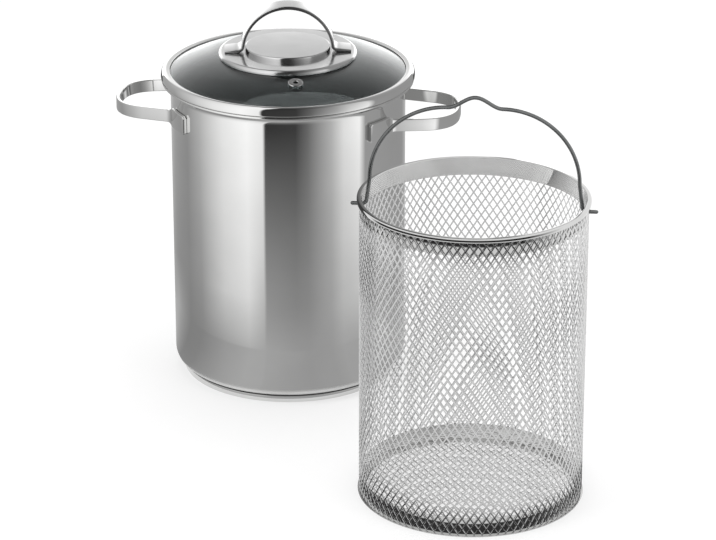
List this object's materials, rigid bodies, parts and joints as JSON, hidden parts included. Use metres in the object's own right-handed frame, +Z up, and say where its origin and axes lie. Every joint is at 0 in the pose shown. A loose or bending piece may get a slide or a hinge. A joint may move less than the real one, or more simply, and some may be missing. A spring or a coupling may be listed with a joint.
{
  "type": "asparagus pot",
  "caption": "Tall round steel pot with side handles, a vented glass lid with an arched handle, and a mesh basket with a swinging wire bail.",
  "frame": {"origin": "centre of the pot's underside, on the floor", "axes": "+Z up along the pot's axis, +X towards the right side handle, +Y away from the viewer"},
  "size_m": [0.3451, 0.3527, 0.2711],
  "materials": {
    "polished_steel": "mirror polished",
    "satin_steel": "satin",
    "mesh_steel": "bright expanded metal",
    "wire_steel": "bright drawn wire",
    "core_aluminium": "plain",
    "lid_glass": "clear, seen dark over the pot",
    "silicone": "matt"
  },
  "bodies": {
    "pot": {"pot_body": "polished_steel", "base_core": "core_aluminium", "base_cap": "polished_steel", "handle_right": "polished_steel", "handle_left": "polished_steel"},
    "lid": {"lid_rim": "polished_steel", "lid_glass": "lid_glass", "lid_rosette": "satin_steel", "lid_handle": "satin_steel", "rosette_gasket": "silicone", "handle_boss": "satin_steel", "handle_screw": "satin_steel", "screw_washer": "satin_steel", "screw_gasket": "silicone", "vent_eyelet": "satin_steel", "vent_collar": "satin_steel"},
    "basket": {"basket_wall": "mesh_steel", "basket_top_band": "polished_steel", "basket_bottom_band": "polished_steel", "basket_floor": "mesh_steel"},
    "bail": {"bail": "wire_steel"}
  },
  "joints": [
    {"name": "lid_lift", "type": "slide", "parent": "pot", "child": "lid", "axis": [0, 0, 1], "range_m": [0, 0.25]},
    {"name": "basket_lift", "type": "slide", "parent": "pot", "child": "basket", "axis": [0, 0, 1], "range_m": [0, 0.25]},
    {"name": "bail_swing", "type": "hinge", "parent": "basket", "child": "bail", "pos_m": [0.14692, -0.19078, 0.1963], "axis": [0.9997, 0.0227, 0], "range_deg": [-71, 71]}
  ]
}
